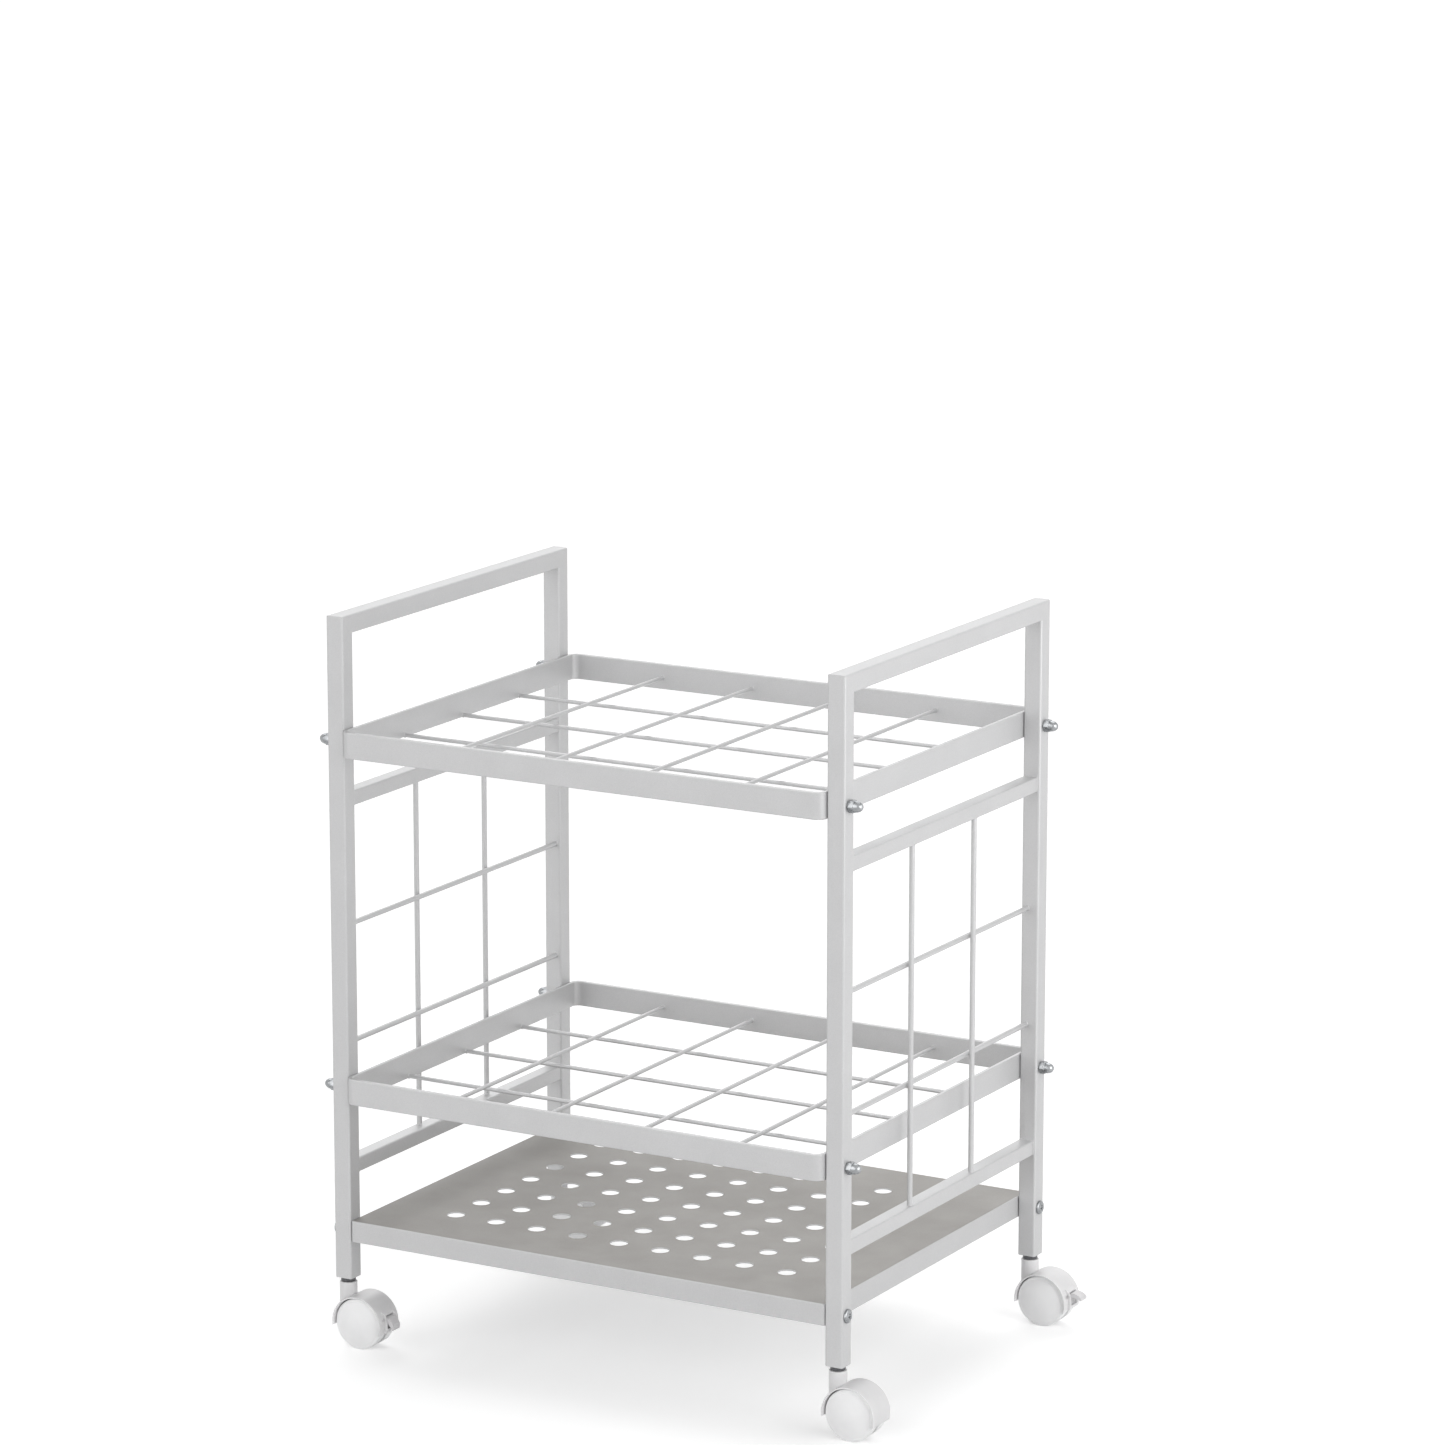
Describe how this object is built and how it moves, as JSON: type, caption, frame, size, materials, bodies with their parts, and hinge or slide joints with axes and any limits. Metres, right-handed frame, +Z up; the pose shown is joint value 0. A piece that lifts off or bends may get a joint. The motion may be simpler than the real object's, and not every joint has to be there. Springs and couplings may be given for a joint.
{
  "type": "blueprint storage cart",
  "caption": "Rolling steel cart that stands rolled drawings upright in wire cells over a perforated tray, on swivel casters with brakes.",
  "frame": {"origin": "on the floor, in the middle of the whole cart's box at rest, with the casters trailing to the right", "axes": "+X to the cart's right, +Y to its back, +Z up"},
  "size_m": [0.557, 0.3816, 0.6444],
  "materials": {
    "frame_paint": "satin silver grey powder coat",
    "hoop_paint": "satin silver grey powder coat",
    "wire_paint": "satin silver grey powder coat",
    "tray_paint": "satin grey powder coat",
    "zinc": "bright zinc plate",
    "stem_steel": "bright steel",
    "socket_plastic": "moulded nylon",
    "hood_plastic": "smooth light moulded nylon",
    "wheel_plastic": "smooth light moulded nylon",
    "lever_plastic": "moulded nylon with grip ribs"
  },
  "bodies": {
    "frame": {"front_left_post": "frame_paint", "back_left_post": "frame_paint", "front_right_post": "frame_paint", "back_right_post": "frame_paint", "left_top_rail": "frame_paint", "left_mid_rail": "frame_paint", "left_bottom_rail": "frame_paint", "right_top_rail": "frame_paint", "right_mid_rail": "frame_paint", "right_bottom_rail": "frame_paint", "left_front_upright_wire": "wire_paint", "left_back_upright_wire": "wire_paint", "left_lower_level_wire": "wire_paint", "left_upper_level_wire": "wire_paint", "right_front_upright_wire": "wire_paint", "right_back_upright_wire": "wire_paint", "right_lower_level_wire": "wire_paint", "right_upper_level_wire": "wire_paint", "upper_hoop": "hoop_paint", "lower_hoop": "hoop_paint", "tray": "tray_paint", "front_left_upper_cap_nut": "zinc", "front_left_lower_cap_nut": "zinc", "front_left_tray_screw": "zinc", "front_left_stem_socket": "socket_plastic", "front_left_caster_stem": "stem_steel", "back_left_upper_cap_nut": "zinc", "back_left_lower_cap_nut": "zinc", "back_left_tray_screw": "zinc", "back_left_stem_socket": "socket_plastic", "back_left_caster_stem": "stem_steel", "front_right_upper_cap_nut": "zinc", "front_right_lower_cap_nut": "zinc", "front_right_tray_screw": "zinc", "front_right_stem_socket": "socket_plastic", "front_right_caster_stem": "stem_steel", "back_right_upper_cap_nut": "zinc", "back_right_lower_cap_nut": "zinc", "back_right_tray_screw": "zinc", "back_right_stem_socket": "socket_plastic", "back_right_caster_stem": "stem_steel"},
    "front_left_caster": {"front_left_caster_housing": "hood_plastic", "front_left_caster_axle": "stem_steel"},
    "front_left_front_wheel": {"front_left_caster_front_wheel": "wheel_plastic"},
    "front_left_back_wheel": {"front_left_caster_back_wheel": "wheel_plastic"},
    "back_left_caster": {"back_left_caster_housing": "hood_plastic", "back_left_caster_axle": "stem_steel"},
    "back_left_front_wheel": {"back_left_caster_front_wheel": "wheel_plastic"},
    "back_left_back_wheel": {"back_left_caster_back_wheel": "wheel_plastic"},
    "front_right_caster": {"front_right_caster_housing": "hood_plastic", "front_right_caster_axle": "stem_steel"},
    "front_right_front_wheel": {"front_right_caster_front_wheel": "wheel_plastic"},
    "front_right_back_wheel": {"front_right_caster_back_wheel": "wheel_plastic"},
    "back_right_caster": {"back_right_caster_housing": "hood_plastic", "back_right_caster_axle": "stem_steel"},
    "back_right_front_wheel": {"back_right_caster_front_wheel": "wheel_plastic"},
    "back_right_back_wheel": {"back_right_caster_back_wheel": "wheel_plastic"},
    "front_left_lever": {"front_left_brake_lever": "lever_plastic"},
    "back_right_lever": {"back_right_brake_lever": "lever_plastic"}
  },
  "joints": [
    {"name": "front_left_swivel", "type": "hinge", "parent": "frame", "child": "front_left_caster", "pos_m": [-0.25799, -0.17525, 0.0607], "axis": [0, 0, 1], "continuous": true},
    {"name": "front_left_front_wheel_roll", "type": "hinge", "parent": "front_left_caster", "child": "front_left_front_wheel", "pos_m": [-0.24119, -0.18525, 0.02275], "axis": [0, 1, 0], "continuous": true},
    {"name": "front_left_back_wheel_roll", "type": "hinge", "parent": "front_left_caster", "child": "front_left_back_wheel", "pos_m": [-0.24119, -0.16525, 0.02275], "axis": [0, 1, 0], "continuous": true},
    {"name": "back_left_swivel", "type": "hinge", "parent": "frame", "child": "back_left_caster", "pos_m": [-0.25799, 0.17525, 0.0607], "axis": [0, 0, 1], "continuous": true},
    {"name": "back_left_front_wheel_roll", "type": "hinge", "parent": "back_left_caster", "child": "back_left_front_wheel", "pos_m": [-0.24119, 0.16525, 0.02275], "axis": [0, 1, 0], "continuous": true},
    {"name": "back_left_back_wheel_roll", "type": "hinge", "parent": "back_left_caster", "child": "back_left_back_wheel", "pos_m": [-0.24119, 0.18525, 0.02275], "axis": [0, 1, 0], "continuous": true},
    {"name": "front_right_swivel", "type": "hinge", "parent": "frame", "child": "front_right_caster", "pos_m": [0.22551, -0.17525, 0.0607], "axis": [0, 0, 1], "continuous": true},
    {"name": "front_right_front_wheel_roll", "type": "hinge", "parent": "front_right_caster", "child": "front_right_front_wheel", "pos_m": [0.24231, -0.18525, 0.02275], "axis": [0, 1, 0], "continuous": true},
    {"name": "front_right_back_wheel_roll", "type": "hinge", "parent": "front_right_caster", "child": "front_right_back_wheel", "pos_m": [0.24231, -0.16525, 0.02275], "axis": [0, 1, 0], "continuous": true},
    {"name": "back_right_swivel", "type": "hinge", "parent": "frame", "child": "back_right_caster", "pos_m": [0.22551, 0.17525, 0.0607], "axis": [0, 0, 1], "continuous": true},
    {"name": "back_right_front_wheel_roll", "type": "hinge", "parent": "back_right_caster", "child": "back_right_front_wheel", "pos_m": [0.24231, 0.16525, 0.02275], "axis": [0, 1, 0], "continuous": true},
    {"name": "back_right_back_wheel_roll", "type": "hinge", "parent": "back_right_caster", "child": "back_right_back_wheel", "pos_m": [0.24231, 0.18525, 0.02275], "axis": [0, 1, 0], "continuous": true},
    {"name": "front_left_brake", "type": "hinge", "parent": "front_left_caster", "child": "front_left_lever", "pos_m": [-0.21676, -0.17525, 0.0293], "axis": [0, -1, 0], "range_deg": [0, 45]},
    {"name": "back_right_brake", "type": "hinge", "parent": "back_right_caster", "child": "back_right_lever", "pos_m": [0.26674, 0.17525, 0.0293], "axis": [0, 1, 0], "range_deg": [0, 45]}
  ]
}
